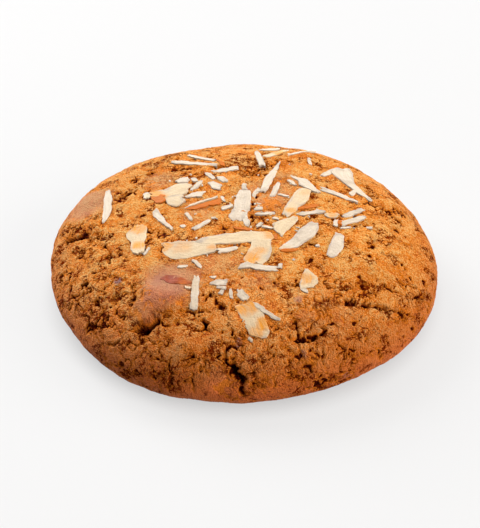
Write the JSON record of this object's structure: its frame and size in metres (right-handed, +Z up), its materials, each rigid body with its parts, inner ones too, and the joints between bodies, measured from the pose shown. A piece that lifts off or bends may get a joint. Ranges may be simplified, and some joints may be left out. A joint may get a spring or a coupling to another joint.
{
  "type": "almond cookie",
  "caption": "Large round soft-baked cookie with a domed, cracked and crumbly top, strewn with pale and toasted slivers of almond.",
  "frame": {"origin": "middle of the flat base that the cookie was baked on", "axes": "+Z up through the crown, -Y towards the side that faces the camera in the picture, +X to its right"},
  "size_m": [0.099, 0.1005, 0.0237],
  "materials": {
    "dough": "golden-brown baked dough, matt and sandy, with a darker crumb in its cracks",
    "almond": "cut almond, cream to toasted gold, dry with a faint satin"
  },
  "bodies": {
    "root": {"cookie": "dough"}
  },
  "joints": []
}
